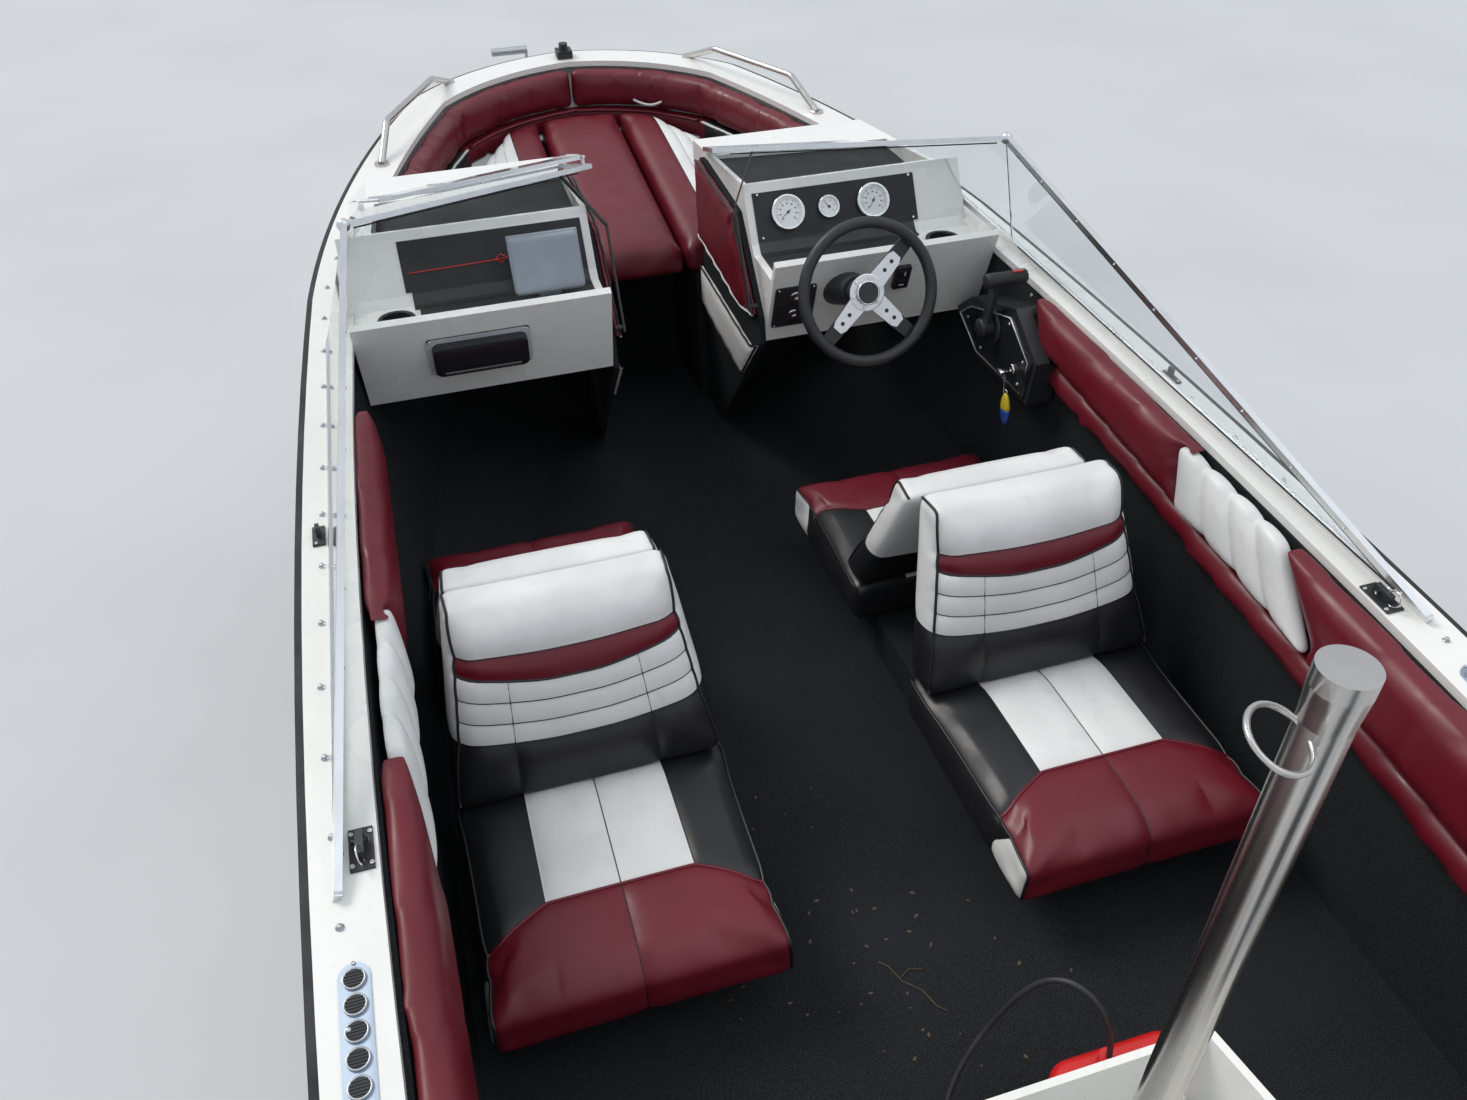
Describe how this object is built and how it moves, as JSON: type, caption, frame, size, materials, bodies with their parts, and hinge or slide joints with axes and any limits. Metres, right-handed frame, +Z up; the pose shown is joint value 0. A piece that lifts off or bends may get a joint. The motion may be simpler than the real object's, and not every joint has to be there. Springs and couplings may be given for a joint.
{
  "type": "speedboat",
  "caption": "Open bow speedboat with burgundy and white seating, wrap-round windscreen, ski pylon and outboard motor, standing on its road trailer.",
  "frame": {"origin": "on the ground under the middle of the whole outfit's bounding box", "axes": "+X to starboard, +Y to the bow and the trailer's coupling, +Z up"},
  "size_m": [2.044, 5.9799, 2.11],
  "materials": {
    "gelcoat": "gloss",
    "rubber_rail": "matt",
    "carpet": "woven",
    "burgundy": "grained vinyl",
    "white_vinyl": "grained vinyl",
    "black_trim": "matt",
    "grey_cover": "matt",
    "dial": "gloss",
    "aluminium": "satin",
    "stainless": "polished",
    "screen": "clear",
    "tank_red": "gloss",
    "motor_black": "gloss",
    "motor_grey": "satin",
    "galvanised": "dull",
    "steel": "satin",
    "roller": "matt",
    "bunk_carpet": "woven",
    "tyre": "matt",
    "wheel_white": "satin"
  },
  "bodies": {
    "boat": {"hull": "gelcoat", "deck": "gelcoat", "rub_rail": "rubber_rail", "cockpit_floor": "carpet", "side_liners": "carpet", "bow_seat_base": "carpet", "bow_cushions": "burgundy", "bow_side_panels": "black_trim", "bow_bolsters": "burgundy", "port_console": "gelcoat", "helm_console": "gelcoat", "dash_linings": "black_trim", "dash_mats": "black_trim", "console_carpets": "carpet", "console_skirts": "white_vinyl", "console_pads": "burgundy", "gauges": "dial", "switch_panels": "black_trim", "display_unit": "grey_cover", "radio_cover": "black_trim", "steering_boss": "black_trim", "side_sheet": "black_trim", "control_box": "black_trim", "screen_frames": "aluminium", "screen_panes": "screen", "screen_stays": "black_trim", "seat_bases": "carpet", "seat_cushions": "burgundy", "seat_backs": "burgundy", "side_bolsters": "burgundy", "bolster_inserts": "white_vinyl", "splash_well": "gelcoat", "ski_pylon": "stainless", "fuel_tank": "tank_red", "fuel_hose": "rubber_rail", "cup_holders": "black_trim", "deck_fittings": "stainless", "vent_plates": "stainless", "bow_rails": "stainless", "clamp_bracket": "motor_grey", "trailer_frame": "galvanised", "trailer_axle": "galvanised", "mudguards": "galvanised", "trailer_bunks": "bunk_carpet", "keel_rollers": "roller", "winch_post": "galvanised"},
    "swivel": {"swivel_bracket": "motor_grey"},
    "motor": {"motor_leg": "motor_grey", "motor_cowl": "motor_black"},
    "propeller": {"propeller": "aluminium"},
    "steering_wheel": {"steering_wheel": "black_trim"},
    "centre_window": {"centre_window_frame": "aluminium", "centre_window_pane": "screen"},
    "winch_handle": {"winch_handle": "steel"},
    "jockey_fork": {"jockey_fork": "steel"},
    "jockey_wheel": {"jockey_wheel": "roller"},
    "right_wheel": {"right_tyre": "tyre", "right_rim": "wheel_white"},
    "left_wheel": {"left_tyre": "tyre", "left_rim": "wheel_white"}
  },
  "joints": [
    {"name": "motor_tilt", "type": "hinge", "parent": "boat", "child": "swivel", "pos_m": [0, -2.485, 1.012], "axis": [-1, 0, 0], "range_deg": [0, 60]},
    {"name": "motor_steer", "type": "hinge", "parent": "swivel", "child": "motor", "pos_m": [0, -2.62, 0.92], "axis": [0, 0, 1], "range_deg": [-30, 30]},
    {"name": "propeller_spin", "type": "hinge", "parent": "motor", "child": "propeller", "pos_m": [0, -2.9, 0.27], "axis": [0, 1, 0], "continuous": true},
    {"name": "steering_wheel_turn", "type": "hinge", "parent": "boat", "child": "steering_wheel", "pos_m": [0.42, 0.032, 1.465], "axis": [0, 0.933, -0.36], "range_deg": [-640, 640]},
    {"name": "centre_window_fold", "type": "hinge", "parent": "boat", "child": "centre_window", "pos_m": [-0.1809, 0.563, 1.7107], "axis": [-0.1434, 0.9421, -0.3031], "range_deg": [0, 184]},
    {"name": "winch_turn", "type": "hinge", "parent": "boat", "child": "winch_handle", "pos_m": [0, 2.195, 1.43], "axis": [1, 0, 0], "continuous": true},
    {"name": "jockey_castor", "type": "hinge", "parent": "boat", "child": "jockey_fork", "pos_m": [0.085, 2.52, 0.3], "axis": [0, 0, 1], "continuous": true},
    {"name": "jockey_roll", "type": "hinge", "parent": "jockey_fork", "child": "jockey_wheel", "pos_m": [0.085, 2.485, 0.09], "axis": [1, 0, 0], "continuous": true},
    {"name": "right_wheel_roll", "type": "hinge", "parent": "boat", "child": "right_wheel", "pos_m": [0.93, -1.18, 0.275], "axis": [1, 0, 0], "continuous": true},
    {"name": "left_wheel_roll", "type": "hinge", "parent": "boat", "child": "left_wheel", "pos_m": [-0.93, -1.18, 0.275], "axis": [1, 0, 0], "continuous": true}
  ],
  "couplings": [
    {"joint": "steering_wheel_turn", "follows": "motor_steer", "ratio": 21}
  ]
}
